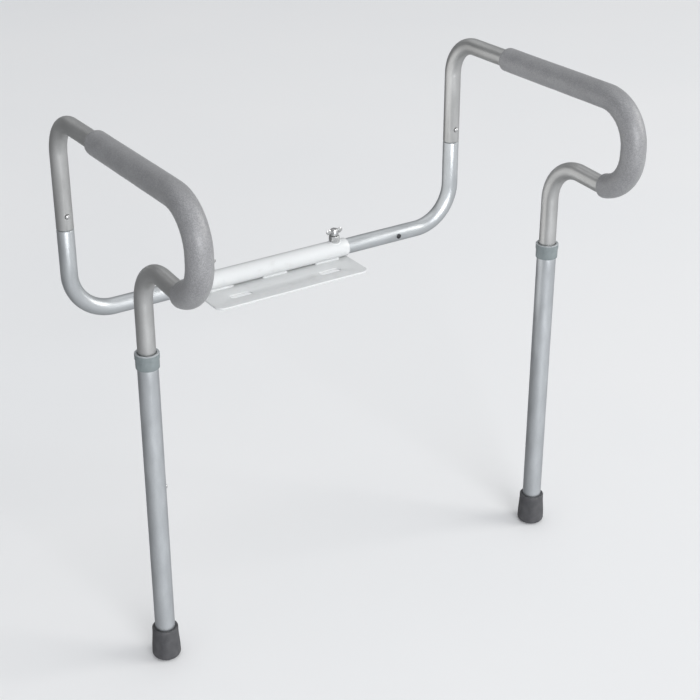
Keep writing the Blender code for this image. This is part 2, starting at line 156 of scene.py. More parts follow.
class Surface:
    """A mesh being built from rings, which remembers where each point was before bending.

    The corner attribute "straight" holds (across, up, along) for the straightened piece,
    so that grain and foam texture follow a bend.
    """

    def __init__(self):
        self.bm = bmesh.new()
        self.straight = self.bm.loops.layers.float_vector.new("straight")
        self.at = {}

    def ring(self, centre, axes, radii, along):
        """Vertices round a centre; radii is one number or one for each side."""
        across, up = axes
        made = []
        if isinstance(radii, float):
            radii = [radii] * ROUND
        for k, radius in enumerate(radii):
            angle = tau * k / len(radii)
            c = cos(angle) * radius
            s = sin(angle) * radius
            vert = self.bm.verts.new(centre + across * c + up * s)
            self.at[vert] = Vector((c, s, along))
            made.append(vert)
        return made

    def point(self, centre, along):
        vert = self.bm.verts.new(centre)
        self.at[vert] = Vector((0, 0, along))
        return [vert]

    def face(self, verts):
        face = self.bm.faces.new(verts)
        for loop in face.loops:
            loop[self.straight] = self.at[loop.vert]

    def join(self, first, second):
        """Faces between two rings, or between a ring and a single point."""
        if len(first) == 1 and len(second) == 1:
            return
        if len(first) == 1 or len(second) == 1:
            hub, rim = (first[0], second) if len(first) == 1 else (second[0], first)
            for k in range(len(rim)):
                self.face((hub, rim[k], rim[(k + 1) % len(rim)]))
            return
        for k in range(len(first)):
            after = (k + 1) % len(first)
            self.face((first[k], first[after], second[after], second[k]))

    def skin(self, rings, closed=True):
        for first, second in zip(rings, rings[1:]):
            self.join(first, second)
        if closed:
            self.join(rings[-1], rings[0])


def turned(name, profile, mat, centre=(0, 0, 0), axis=Z_AXIS, smooth=SMOOTH):
    """A closed profile of (radius, height) points turned round an axis."""
    centre = Vector(centre)
    turn = axis.to_track_quat("Z", "Y").to_matrix()
    axes = (turn @ X_AXIS, turn @ Y_AXIS)
    surface = Surface()
    rings = []
    for radius, height in profile:
        middle = centre + axis * height
        if radius == 0:
            rings.append(surface.point(middle, height))
        else:
            rings.append(surface.ring(middle, axes, float(radius), height))
    surface.skin(rings)
    return finish_mesh(name, surface.bm, mat, smooth)


def arc(centre_r, centre_h, radius, start, end, steps=5):
    """Profile points on an arc, with angles in degrees from the outward direction."""
    points = []
    for k in range(steps + 1):
        angle = radians(start + (end - start) * k / steps)
        points.append((centre_r + radius * cos(angle), centre_h + radius * sin(angle)))
    return points


def dome(radius, base, rise, steps):
    """Profile points of a dome, from its rim up to its middle."""
    points = []
    for k in range(steps):
        angle = pi / 2 * k / steps
        points.append((radius * cos(angle), base + rise * sin(angle)))
    return [*points, (0, base + rise)]


def along_line(start, end, steps, direction, radius, bore):
    """Stations of a straight tube."""
    return [(start.lerp(end, k / steps), direction, radius, bore) for k in range(steps + 1)]


def swept_tube(name, stations, side_axis, mat, lip=0.0004):
    """A hollow tube through (centre, direction, outer radius, bore radius) stations."""
    surface = Surface()
    outer = []
    inner = []
    along = 0
    last = stations[0][0]
    for centre, direction, radius, bore in lipped(stations, lip):
        along += (centre - last).length
        last = centre
        axes = (side_axis, direction.cross(side_axis).normalized())
        outer.append(surface.ring(centre, axes, radius, along))
        inner.append(surface.ring(centre, axes, bore, along))
    surface.skin(outer + inner[::-1])
    return finish_mesh(name, surface.bm, mat)


def lipped(stations, lip, steps=3):
    """Round over the outer edge at both ends of a tube."""
    made = []
    for end, neighbour in ((stations[0], stations[1]), (stations[-1], stations[-2])):
        inward = (neighbour[0] - end[0]).normalized()
        rings = []
        for k in range(steps + 1):
            angle = pi / 2 * k / steps
            centre = end[0] + inward * lip * (1 - cos(angle))
            rings.append((centre, end[1], end[2] - lip * (1 - sin(angle)), end[3]))
        made.append(rings)
    return [*made[0], *stations[1:-1], *made[1][::-1]]


def boolean(obj, tool, operation="DIFFERENCE"):
    """Adds a modifier that cuts the tool out of an object, or joins it on."""
    mod = obj.modifiers.new(operation, "BOOLEAN")
    mod.operation = operation
    mod.object = tool
    mod.solver = "EXACT"


def apply_modifiers(obj, *tools):
    """Makes the modifiers' result the object's mesh, and removes the tools they used."""
    graph = bpy.context.evaluated_depsgraph_get()
    mesh = bpy.data.meshes.new_from_object(obj.evaluated_get(graph))
    obj.modifiers.clear()
    obj.data = mesh
    for tool in tools:
        bpy.data.objects.remove(tool, do_unlink=True)


def cut(obj, holes, hole_r=HOLE_R):
    """Cut countersunk round holes: each hole is (point on the surface, outward axis)."""
    sides = 24
    depth = 0.004
    chamfer = 0.0003
    mouth_r = hole_r + 2 * chamfer
    profile = ((hole_r, -depth), (hole_r, -chamfer), (mouth_r, chamfer), (mouth_r, depth))
    pins = bmesh.new()
    for point, axis in holes:
        turn = Matrix.Translation(point) @ axis.to_track_quat("Z", "Y").to_matrix().to_4x4()
        rings = []
        for radius, height in profile:
            ring = []
            for k in range(sides):
                angle = tau * k / sides
                corner = Vector((radius * cos(angle), radius * sin(angle), height))
                ring.append(pins.verts.new(turn @ corner))
            rings.append(ring)
        for first, second in zip(rings, rings[1:]):
            for k in range(sides):
                after = (k + 1) % sides
                pins.faces.new((first[k], first[after], second[after], second[k]))
        pins.faces.new(rings[0])
        pins.faces.new(rings[-1])
    cutter = finish_mesh(obj.name + ".holes", pins, obj.data.materials[0])
    boolean(obj, cutter)
    apply_modifiers(obj, cutter)
    obj.data.set_sharp_from_angle(angle=radians(SMOOTH))


def show(piece, body, slot, *nodes):
    """The piece moves with a CAD body and stands for CAD nodes."""
    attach(piece, body)
    if nodes:
        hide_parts(*nodes)


# -------- paths of the bent tubes
class Path:
    """A flat path of straight runs and arcs: points of (forward, up, heading, curvature)."""

    def __init__(self, forward, up, heading):
        self.forward = forward
        self.up = up
        self.heading = heading
        self.points = [(forward, up, heading, 0)]

    def line(self, length, step=None):
        pieces = max(1, round(length / step)) if step else 1
        for _ in range(pieces):
            self.forward += length / pieces * cos(self.heading)
            self.up += length / pieces * sin(self.heading)
            self.points.append((self.forward, self.up, self.heading, 0))

    def bend(self, radius, angle, arc_step=ARC_STEP):
        """Turn left by a positive angle and right by a negative one."""
        side = 1 if angle > 0 else -1
        centre_f = self.forward - side * radius * sin(self.heading)
        centre_u = self.up + side * radius * cos(self.heading)
        start = self.heading
        steps = round(abs(angle) / arc_step)
        for k in range(1, steps + 1):
            self.heading = start + angle * k / steps
            self.forward = centre_f + side * radius * sin(self.heading)
            self.up = centre_u - side * radius * cos(self.heading)
            self.points.append((self.forward, self.up, self.heading, side / radius))


def arm_points():
    """Axis of an arm tube: up, forward, round the hand loop, back, and down to the leg."""
    path = Path(0, JOINT_Z, pi / 2)
    path.line(ARMREST_Z - TOP_BEND_R - JOINT_Z)
    path.bend(TOP_BEND_R, -pi / 2)
    path.line(REACH - FRONT_BEND_R - path.forward)
    path.bend(FRONT_BEND_R, -pi / 2)
    path.line(LOOP_DROP)
    path.bend(FRONT_BEND_R, -(pi / 2 + RETURN_RISE))
    bend_start = LEG_REACH + RETURN_BEND_R * (1 + sin(RETURN_RISE))
    path.line((path.forward - bend_start) / cos(RETURN_RISE))
    path.bend(RETURN_BEND_R, pi / 2 + RETURN_RISE)
    path.line(path.up - ARM_END_Z)
    return path.points


def in_arm_plane(x, point):
    """The place and direction of a path point, for an arm at x."""
    forward, up, heading = point[:3]
    return Vector((x, REAR_Y - forward, up)), Vector((0, -cos(heading), sin(heading)))


def make_arm_tube(side, sign, mats):
    """The bent tube, with a hole for each of its two buttons."""
    x = sign * ARM_X
    stations = [(*in_arm_plane(x, p), TUBE_R, TUBE_R - WALL) for p in arm_points()]
    tube = swept_tube(f"{side}_arm", stations, X_AXIS, mats["arm"])
    cut(tube, [(Vector((x, REAR_Y - TUBE_R, REAR_BUTTON_Z)), -Y_AXIS),
               (Vector((x + TUBE_R, LEG_Y, LEG_BUTTON_Z)), X_AXIS)])
    show(tube, f"{side}_arm_assembly", "satin_aluminium", f"{side}_arm_tube")


def make_rear_tube(side, sign, mats):
    """Out of the bracket, up, and reduced to a spigot inside the arm tube."""
    inner_end = min(abs(corner.x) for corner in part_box(f"{side}_rear_tube"))
    path = Path(inner_end, REAR_Z, 0)
    path.line(ARM_X - REAR_BEND_R - path.forward)
    path.bend(REAR_BEND_R, pi / 2)
    path.line(JOINT_Z - GAP - SHOULDER - path.up)
    stations = []
    for outward, up, heading, _ in path.points:
        centre = Vector((sign * outward, REAR_Y, up))
        direction = Vector((sign * cos(heading), 0, sin(heading)))
        stations.append((centre, direction, TUBE_R, TUBE_R - WALL))
    for k in range(1, SHOULDER_RINGS + 1):
        share = (1 - cos(pi * k / SHOULDER_RINGS)) / 2
        z = JOINT_Z - GAP - SHOULDER * (1 - k / SHOULDER_RINGS)
        outer = between(TUBE_R, SPIGOT_R, share)
        bore = between(TUBE_R - WALL, SPIGOT_BORE_R, share)
        stations.append((Vector((sign * ARM_X, REAR_Y, z)), Z_AXIS, outer, bore))
    stations.append((Vector((sign * ARM_X, REAR_Y, SPIGOT_TOP_Z)), Z_AXIS, SPIGOT_R, SPIGOT_BORE_R))
    tube = swept_tube(f"{side}_rear", stations, Y_AXIS, mats["rear"])
    cut(tube, [(Vector((sign * ARM_X, REAR_Y - SPIGOT_R, REAR_BUTTON_Z)), -Y_AXIS)])
    cut(tube, [(Vector((sign * RIVET_X, REAR_Y - TUBE_R, REAR_Z)), -Y_AXIS)], RIVET_HOLE_R)
    show(tube, f"{side}_arm_assembly", "bright_aluminium", f"{side}_rear_tube")


# -------- foam grips
FOAM_STEP = 0.0016
FOAM_SIDES = 96
FOAM_LOOP_SHARE = 7 / 8        # the foam ends before the loop's lower bend does
FOAM_EDGE_R = 0.0032           # the ends are rounded over this length
EDGE_SHARE = 0.62              # how deep they are rounded, as a share of a quarter circle
EDGE_WANDER = 0.08

# Unevenness of the radius, and how quickly it changes round the sleeve and along it
SWELL = 0.00016
SWELL_ROUND = 0.9
SWELL_ALONG = 28
RIPPLE = 0.00005
RIPPLE_ROUND = 3.0
RIPPLE_ALONG = 160

# Creases on the inside of a bend
CREASE = 0.00016
CREASE_SINK = 0.4              # they go in further than they stand out
CREASE_PITCH = 0.0085
CREASE_FADE = 0.012            # they fade over this length where a bend starts and ends


def foam_points():
    """The armrest's straight run from the foam's rear end, and round the hand loop."""
    path = Path(FOAM_START, ARMREST_Z, 0)
    arc_step = FOAM_STEP / FRONT_BEND_R
    path.line(REACH - FRONT_BEND_R - path.forward, FOAM_STEP)
    path.bend(FRONT_BEND_R, -pi / 2, arc_step)
    path.line(LOOP_DROP, FOAM_STEP)
    path.bend(FRONT_BEND_R, -(pi / 2 + RETURN_RISE) * FOAM_LOOP_SHARE, arc_step)
    return path.points


def foam_radius(along, angle, bend, length):
    """Soft unevenness, with shallow creases where a bend squeezes the foam."""
    round_about = Vector((cos(angle), sin(angle), 0))
    slow = noise.noise(round_about * SWELL_ROUND + Z_AXIS * along * SWELL_ALONG)
    quick = noise.noise(round_about * RIPPLE_ROUND + Z_AXIS * along * RIPPLE_ALONG)
    inside = max(0, -sin(angle)) * bend
    crease = inside ** 2 * (sin(along * tau / CREASE_PITCH + 2 * slow) - CREASE_SINK)
    radius = FOAM_R + SWELL * slow + RIPPLE * quick + CREASE * crease
    # round the ends over, and let the very edge curl in a little unevenly
    end = min(along, length - along)
    if end < FOAM_EDGE_R:
        depth = FOAM_EDGE_R - sqrt(max(0, FOAM_EDGE_R ** 2 - (FOAM_EDGE_R - end) ** 2))
        radius -= depth * (EDGE_SHARE + EDGE_WANDER * slow)
    return radius


def make_foam(side, sign, mats):
    """A closed-cell foam sleeve that the arm tube was pushed through."""
    points = foam_points()
    x = sign * ARM_X
    lengths = [0]
    for before, after in zip(points, points[1:]):
        lengths.append(lengths[-1] + sqrt((after[0] - before[0]) ** 2 + (after[1] - before[1]) ** 2))
    window = round(CREASE_FADE / FOAM_STEP)
    surface = Surface()
    outer = []
    bore = []
    for index, point in enumerate(points):
        centre, direction = in_arm_plane(x, point)
        axes = (X_AXIS, direction.cross(X_AXIS).normalized())
        near = points[max(0, index - window):index + window + 1]
        bend = sum(abs(p[3]) for p in near) / len(near) * FRONT_BEND_R
        radii = [foam_radius(lengths[index], tau * k / FOAM_SIDES, bend, lengths[-1])
                 for k in range(FOAM_SIDES)]
        outer.append(surface.ring(centre, axes, radii, lengths[index]))
        bore.append(surface.ring(centre, axes, [TUBE_R + FIT] * FOAM_SIDES, lengths[index]))
    surface.skin(outer + bore[::-1])
    grip = finish_mesh(f"{side}_grip", surface.bm, mats["foam"], smooth=60)
    show(grip, f"{side}_arm_assembly", "foam", f"{side}_foam_grip")


# -------- legs
def make_leg(side, sign, mats):
    """The outer tube, with a row of holes for the height button."""
    x = sign * ARM_X
    low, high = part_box(f"{side}_leg_tube")
    stations = along_line(Vector((x, LEG_Y, low.z)), Vector((x, LEG_Y, high.z)), 12, Z_AXIS,
                          LEG_R, LEG_R - WALL)
    tube = swept_tube(f"{side}_leg", stations, X_AXIS, mats["leg"])
    cut(tube, [(Vector((x + LEG_R, LEG_Y, LEG_BUTTON_Z + k * HOLE_PITCH)), X_AXIS)
               for k in range(HEIGHT_HOLES)])
    show(tube, f"{side}_leg", "satin_aluminium", f"{side}_leg_tube")


def make_collar(side, sign, mats):
    """A moulded sleeve over the leg's top: a skirt, and a band that stands a little prouder."""
    low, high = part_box(f"{side}_leg_collar")
    height = high.z - low.z
    socket = LEG_R + FIT
    bore = TUBE_R + 2 * GAP
    top_wall = 0.004               # what stands over the leg's end
    edge = 0.0011                  # radius of the outer edges
    small = 0.0006                 # radius of the band's lower edge and of the bore's edge
    skirt_r = COLLAR_R - 0.0007
    band_z = height * 0.66
    rim = 0.0008                   # depth of the top face's paler colour, a painted highlight for light from above
    profile = [(socket, 0), (skirt_r - edge, 0)]
    profile += arc(skirt_r - edge, edge, edge, -90, 0)
    profile += [(skirt_r, band_z - 2 * small)]
    profile += arc(skirt_r, band_z - small, small, -90, 0, 3)[1:]
    profile += [(skirt_r + small, band_z + small)]
    profile += arc(COLLAR_R - edge, height - edge, edge, 0, 90)
    profile += [(bore + small, height)]
    profile += arc(bore + small, height - small, small, 90, 180, 3)
    profile += [(bore, height - top_wall), (socket, height - top_wall)]
    collar = turned(f"{side}_collar", profile, mats["collar"], (sign * ARM_X, LEG_Y, low.z))
    # The top face gets paler colours: a painted highlight standing in for light from above
    collar.data.materials.append(mats["collar_painted_highlight"])
    for face in collar.data.polygons:
        if face.center.z > high.z - rim:
            face.material_index = 1
    show(collar, f"{side}_leg", "collar_plastic", f"{side}_leg_collar")


def make_tip(side, sign, mats):
    """A rubber crutch tip: a rolled upper lip, a flared skirt and a grooved sole."""
    low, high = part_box(f"{side}_foot_tip")
    height = high.z - low.z
    socket = LEG_R + FIT
    sole = 0.012                   # rubber under the leg's end
    edge = 0.006                   # radius of the sole's edge
    recess_r = 0.0026              # round hollow in the middle of the sole
    groove = 0.0009                # depth of the hollow and of the ring grooves
    groove_floor = 0.0010
    groove_side = 0.0003
    lip = 0.0006                   # radius of the socket's edge
    roll = 0.0013
    profile = [(0, groove), (recess_r - 0.0004, groove), (recess_r, 0)]
    for start in (0.0046, 0.0080):
        floor = start + groove_side
        profile += [(start, 0), (floor, groove), (floor + groove_floor, groove),
                    (floor + groove_floor + groove_side, 0)]
    profile += arc(TIP_FOOT_R - edge, edge, edge, -90, 0, 8)
    skirt_low = edge + 0.002
    skirt_high = height - 0.0025
    skirt_steps = 12
    for k in range(1, skirt_steps + 1):
        share = k / skirt_steps
        flare = (1 - cos(pi * share)) / 2
        z = between(skirt_low, skirt_high, share)
        profile.append((between(TIP_FOOT_R, TIP_TOP_R, flare), z))
    profile += arc(TIP_TOP_R - roll, height - roll, roll, 0, 90)[1:]
    profile += arc(socket + lip, height - lip, lip, 90, 180, 3)
    profile += [(socket, sole), (0, sole)]
    tip = turned(f"{side}_tip", profile, mats["rubber"], (sign * ARM_X, LEG_Y, low.z), smooth=40)
    show(tip, f"{side}_leg", "tip_rubber", f"{side}_foot_tip")


# -------- small fittings
HUB_R = 0.006                  # wing screw
HUB_TOP_R = 0.0052
EAR_Z = 0.0048                 # the ears' roots over the hub's lower end
EAR_RISE = 0.0010
EAR_HALF_TALL = (0.0022, 0.0043)
EAR_HALF_THICK = (0.0017, 0.0012)
EAR_WIDENS = 0.6               # shares of an ear's reach: where it is at its tallest
EAR_CLOSES = 0.45              # and where its end starts to round off
EARS_OVER_HUB = 0.0012


def make_button(place, axis, mats):
    """A domed pin that stands out of its hole, with its flange behind the tube's wall."""
    node = place + "_button"
    low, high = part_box(node)
    centre = (low + high) / 2
    length = abs((high - low).dot(axis))
    foot = centre - axis * length / 2
    flange_r = 0.0042
    flange = 0.001
    rise = 0.0017
    profile = [(0, 0), (flange_r, 0), (flange_r, flange), (BUTTON_R, flange)]
    profile += dome(BUTTON_R, length - rise, rise, 8)
    button = turned(place + "_pin", profile, mats["zinc"], foot, axis)
    show(button, node + "_body", "plated_steel", node)


def make_spring(place, body, axis, mats):
    """A strip of spring steel bent to a U, pressed flatter as its button goes in."""
    node = place + "_spring"
    low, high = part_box(node)
    centre = (low + high) / 2
    depth = abs((high - low).dot(axis))
    radius = (depth - SPRING_T) / 2
    width = axis.cross(Z_AXIS)
    bend_z = low.z + depth / 2
    straight = high.z - bend_z
    run_steps = 12
    bend_steps = 32
    stations = []
    for k in range(run_steps + 1):
        stations.append((radius, bend_z + straight * (1 - k / run_steps), 0))
    for k in range(1, bend_steps):
        turn = pi * k / bend_steps
        stations.append((radius * cos(turn), bend_z - radius * sin(turn), turn))
    for k in range(run_steps + 1):
        stations.append((-radius, bend_z + straight * k / run_steps, pi))
    surface = Surface()
    rings = []
    for index, (reach, z, turn) in enumerate(stations):
        middle = Vector((centre.x, centre.y, z)) + axis * reach
        outward = axis * cos(turn) - Z_AXIS * sin(turn)
        rings.append(strip_ring(surface, middle, width, outward, index * SPRING_STEP))
    surface.skin(rings, closed=False)
    surface.face(rings[0])
    surface.face(rings[-1])
    spring = finish_mesh(place + "_pin_spring", surface.bm, mats["zinc"], smooth=30)
    show(spring, body, "plated_steel", node)
    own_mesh(spring)


def strip_ring(surface, middle, width, outward, along):
    """The section of a flat strip, with its four corners broken."""
    half_w = SPRING_WIDTH / 2
    half_t = SPRING_T / 2
    broken = 0.00012
    ring = []
    for w_sign, t_sign in ((1, 1), (1, -1), (-1, -1), (-1, 1)):
        pair = [(half_w - broken, half_t), (half_w, half_t - broken)]
        if w_sign != t_sign:
            pair.reverse()
        for w, t in pair:
            vert = surface.bm.verts.new(middle + width * w * w_sign + outward * t * t_sign)
            surface.at[vert] = Vector((w * w_sign, t * t_sign, along))
            ring.append(vert)
    return ring


def make_washer(side, sign, mats):
    """A stamped washer that keeps the leg's end from cutting through the rubber."""
    node = f"{side}_tip_washer"
    low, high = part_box(node)
    thick = high.z - low.z
    outer_r = (high.x - low.x) / 2
    edge = 0.0003
    profile = arc(outer_r - edge, edge, edge, -90, 0, 3)
    profile += arc(outer_r - edge, thick - edge, edge, 0, 90, 3)
    profile += arc(WASHER_BORE_R + edge, thick - edge, edge, 90, 180, 3)
    profile += arc(WASHER_BORE_R + edge, edge, edge, 180, 270, 3)
    washer = turned(f"{side}_washer", profile, mats["zinc"], (sign * ARM_X, LEG_Y, low.z))
    show(washer, f"{side}_leg", "plated_steel", node)


def make_rivet(side, mats):
    """A domed rivet in the rear tube's front wall."""
    node = f"{side}_stop_rivet"
    low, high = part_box(node)
    centre = (low + high) / 2
    depth = high.y - low.y
    shank_r = 0.0016
    shank = 0.003                  # up to the head's rim
    head_r = 0.0036
    under = shank - 2 * FIT
    profile = [(0, 0), (shank_r, 0), (shank_r, under), (head_r - 2 * FIT, under)]
    profile += dome(head_r, shank, depth - shank, 9)
    rivet = turned(f"{side}_rivet", profile, mats["dark_steel"], (centre.x, high.y, centre.z), -Y_AXIS)
    show(rivet, f"{side}_arm_assembly", "dark_steel", node)


def make_clamp(side, sign, mats):
    """A hexagon nut welded on the bracket tube, and the wing screw that runs through it."""
    low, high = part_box(f"{side}_clamp_nut")
    flats = (high.x - low.x) / 2
    base = Vector((sign * CLAMP_X, REAR_Y, low.z))
    nut = chamfered_hexagon(f"{side}_nut", base, flats, high.z - low.z, mats["zinc"])
    show(nut, "bracket", "plated_steel", f"{side}_clamp_nut")

    ring_r = flats / cos(pi / 6) + 0.0004
    bead_wide = 0.0011
    bead_tall = 0.0010
    lift = 0.0002
    sides = 9
    profile = []
    for k in range(sides):
        angle = tau * k / sides
        profile.append((ring_r + bead_wide * cos(angle), lift + bead_tall * sin(angle)))
    bead = turned(f"{side}_nut_weld", profile, mats["paint"], base - Z_AXIS * GAP, smooth=80)
    settle_on_tube(bead, sink=0.0004)
    show(bead, "bracket", "white_paint")
    make_wing_screw(side, sign, high.z + 2 * GAP, mats)


def settle_on_tube(bead, sink):
    """Drop each point of a flat bead by as much as the round bracket tube falls away there."""
    top = REAR_Z + LEG_R
    steepest = LEG_R * 0.98
    for vert in bead.data.vertices:
        across = min(abs(vert.co.y - REAR_Y), steepest)
        vert.co.z += REAR_Z + sqrt(LEG_R ** 2 - across ** 2) - top - sink


def chamfered_hexagon(name, base, flats, height, mat):
    """A nut: a hexagon whose corners are turned down to a cone at both ends, and bored."""
    corner = flats / cos(pi / 6)
    face_r = flats * 0.97          # radius of the flat face at each end
    bore = 0.0033
    bore_edge = 0.0005
    cone = 0.0011                  # height of each cone
    cone_steps = 3
    count = 72
    surface = Surface()
    rings = []

    def section(radii, z):
        rings.append(surface.ring(base + Z_AXIS * z, (X_AXIS, Y_AXIS), radii, z))

    def hexagon(limit):
        radii = []
        for k in range(count):
            # flats face +X and -X, as on the CAD nut
            off = (tau * k / count + pi / 6) % (pi / 3) - pi / 6
            radii.append(min(flats / cos(off), limit))
        return radii

    section([bore + bore_edge] * count, 0)
    section([face_r] * count, 0)
    for k in range(cone_steps + 1):
        share = k / cone_steps
        section(hexagon(between(face_r, corner, share)), cone * share)
    for k in range(cone_steps, -1, -1):
        share = k / cone_steps
        section(hexagon(between(face_r, corner, share)), height - cone * share)
    section([bore + bore_edge] * count, height)
    section([bore] * count, height - bore_edge)
    section([bore] * count, bore_edge)
    surface.skin(rings)
    return finish_mesh(name, surface.bm, mat, smooth=25)


def screw_profile(low, hub_low, hub_high):
    """A point, the thread's ridges, a bare neck, and a hub that narrows upwards."""
    root_r = 0.00255
    crest_r = 0.003
    pitch = 0.001
    profile = [(0, low), (0.0018, low), (root_r, low + 0.0007)]
    z = low + pitch
    while z + pitch < hub_low:
        profile += [(root_r, z), (crest_r, z + pitch * 0.4), (crest_r, z + pitch * 0.6)]
        z += pitch
    profile += [(root_r, hub_low - 0.0002), (root_r, hub_low)]
    profile += [(HUB_R - 0.0004, hub_low), (HUB_R, hub_low + 0.0004), (HUB_R, hub_low + 0.0022)]
    profile += [(HUB_TOP_R, hub_high - 0.0012), (HUB_TOP_R - 0.0005, hub_high - 0.0003),
                (HUB_TOP_R - 0.0012, hub_high)]
    return [*profile, (0, hub_high)]


def make_ears(name, root, reach, mat):
    """Two ears that widen outwards from the hub, get thinner and end round."""
    surface = Surface()
    start = 0.003                  # distance from the hub's axis
    steps = 14
    sides = 24
    for end in (-1, 1):
        rings = []
        for k in range(steps + 1):
            share = sin(pi / 2 * k / steps)
            out = between(start, reach, share)
            closing = sqrt(max(0.0, 1 - (max(0, share - EAR_CLOSES) / (1 - EAR_CLOSES)) ** 2))
            tall = between(*EAR_HALF_TALL, min(1, share / EAR_WIDENS)) * closing
            thick = between(*EAR_HALF_THICK, share) * sqrt(closing)
            centre = root + Vector((end * out, 0, EAR_RISE * share))
            if k == steps:
                rings.append(surface.point(centre, out))
                continue
            ring = []
            for j in range(sides):
                angle = tau * j / sides
                point = centre + Y_AXIS * thick * cos(angle) + Z_AXIS * tall * sin(angle)
                vert = surface.bm.verts.new(point)
                surface.at[vert] = point - centre + Z_AXIS * out
                ring.append(vert)
            rings.append(ring)
        hub = surface.point(root + Vector((end * (start - 0.0002), 0, 0.0001)), 0)
        surface.skin([hub, *rings], closed=False)
    return finish_mesh(name, surface.bm, mat, smooth=50)


def make_wing_screw(side, sign, hub_low, mats):
    """A threaded shank, a cone-shaped hub and two rounded ears."""
    low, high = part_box(f"{side}_clamp_screw")
    axis_foot = Vector((sign * CLAMP_X, REAR_Y, 0))
    profile = screw_profile(low.z, hub_low, high.z - EARS_OVER_HUB)
    screw = turned(f"{side}_wing_screw", profile, mats["zinc"], axis_foot, smooth=30)
    ear_root = axis_foot + Z_AXIS * (hub_low + EAR_Z)
    ears = make_ears(f"{side}_wings", ear_root, half_size(f"{side}_clamp_screw").x, mats["zinc"])
    boolean(screw, ears, "UNION")
    apply_modifiers(screw, ears)
    screw.data.set_sharp_from_angle(angle=radians(SMOOTH))
    show(screw, f"{side}_clamp_screw_body", "plated_steel", f"{side}_clamp_screw")


# -------- bracket
WELD_STARTS = (-0.104, -0.020, 0.064)
WELD_LENGTH = 0.040


def rounded_rectangle(x0, x1, y0, y1, radius, steps=10):
    outline = []
    corners = ((x1 - radius, y1 - radius), (x0 + radius, y1 - radius),
               (x0 + radius, y0 + radius), (x1 - radius, y0 + radius))
    for quarter, (cx, cy) in enumerate(corners):
        for k in range(steps + 1):
            angle = (quarter + k / steps) * pi / 2
            outline.append((cx + radius * cos(angle), cy + radius * sin(angle)))
    return outline


def slot_outline(x, half, radius, steps=14):
    outline = []
    for end in (1, -1):
        for k in range(steps + 1):
            angle = pi * (k / steps - 0.5)
            outline.append((x + end * (half + radius * cos(angle)), end * radius * sin(angle)))
    return outline


def slab(name, outline, low, high, mat):
    """A flat outline raised to a solid."""
    bm = bmesh.new()
    base = bm.faces.new([bm.verts.new((x, y, low)) for x, y in outline])
    raised = bmesh.ops.extrude_face_region(bm, geom=[base])["geom"]
    verts = [item for item in raised if isinstance(item, bmesh.types.BMVert)]
    bmesh.ops.translate(bm, verts=verts, vec=(0, 0, high - low))
    return finish_mesh(name, bm, mat)


def make_plate(mats):
    """The bracket plate, with softened edges round its outline and its two bolt slots."""
    low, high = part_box("bracket_plate")
    corner_r = 0.010
    edge = 0.0006
    past = 0.01                    # how far a slot's cutter stands out of the plate
    outline = rounded_rectangle(low.x, high.x, low.y, high.y, corner_r)
    plate = slab("plate", outline, low.z, high.z, mats["paint"])
    slots = []
    for x in (-SEAT_BOLT_X, SEAT_BOLT_X):
        outline = slot_outline(x, SLOT_HALF, SLOT_R)
        slots.append(slab("slot", outline, low.z - past, high.z + past, mats["paint"]))
        boolean(plate, slots[-1])
    mod = plate.modifiers.new("Edges", "BEVEL")
    mod.width = edge
    mod.segments = 3
    mod.limit_method = "ANGLE"
    mod.angle_limit = radians(40)
    apply_modifiers(plate, *slots)
    plate.data.shade_smooth()
    plate.data.set_sharp_from_angle(angle=radians(50))
    show(plate, "bracket", "white_paint", "bracket_plate")


def make_sleeve(mats):
    """The tube that both rear tubes slide in, bored for the clamp screws."""
    ends = [Vector((sign * BRACKET_HALF, REAR_Y, REAR_Z)) for sign in (-1, 1)]
    stations = along_line(*ends, 20, X_AXIS, LEG_R, LEG_R - SLEEVE_WALL)
    sleeve = swept_tube("sleeve", stations, Y_AXIS, mats["paint"], lip=0.0005)
    cut(sleeve, [(Vector((sign * CLAMP_X, REAR_Y, REAR_Z + LEG_R)), Z_AXIS) for sign in (-1, 1)])
    show(sleeve, "bracket", "white_paint", "bracket_tube")


def make_welds(mats):
    """Short rippled beads that hold the sleeve on the plate, in front and behind."""
    plate_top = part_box("bracket_plate")[1].z
    number = 0
    for face in (-1, 1):
        for start in WELD_STARTS:
            number += 1
            make_bead(f"weld_{number}", start, face, plate_top, mats)


def make_bead(name, start, face, plate_top, mats):
    """A rippled bead with rounded ends, partly sunk in the plate."""
    steps = 180
    sides = 16
    offset = 0.0062                # from under the sleeve's axis
    lift = 0.0006
    radius = 0.0019
    ripple_pitch = 0.0022
    ripple_depth = 0.16
    wander_most = 0.0002
    wander_scale = 90
    surface = Surface()
    rings = []
    for k in range(steps + 1):
        share = k / steps
        x = start + WELD_LENGTH * share
        taper = sqrt(max(0.0, 1 - abs(2 * share - 1) ** 6))
        ripple = 1 + ripple_depth * abs(sin(pi * WELD_LENGTH * share / ripple_pitch))
        wander = wander_most * noise.noise(Vector((x * wander_scale, face * 3.0, 0)))
        centre = Vector((x, REAR_Y + face * (offset + wander), plate_top + lift))
        if k in (0, steps):
            rings.append(surface.point(centre, x))
        else:
            rings.append(surface.ring(centre, (Y_AXIS, Z_AXIS), [radius * ripple * taper] * sides, x))
    surface.skin(rings, closed=False)
    bead = finish_mesh(name, surface.bm, mats["paint"], smooth=80)
    show(bead, "bracket", "white_paint")


def make_fittings(mats):
    for side, sign in SIDES:
        places = ((f"{side}_rear", -Y_AXIS), (f"{side}_leg", X_AXIS))
        for place, axis in places:
            make_button(place, axis, mats)
        for place, axis in places:
            make_spring(place, f"{side}_arm_assembly", axis, mats)
        make_washer(side, sign, mats)
        make_rivet(side, mats)
        make_clamp(side, sign, mats)


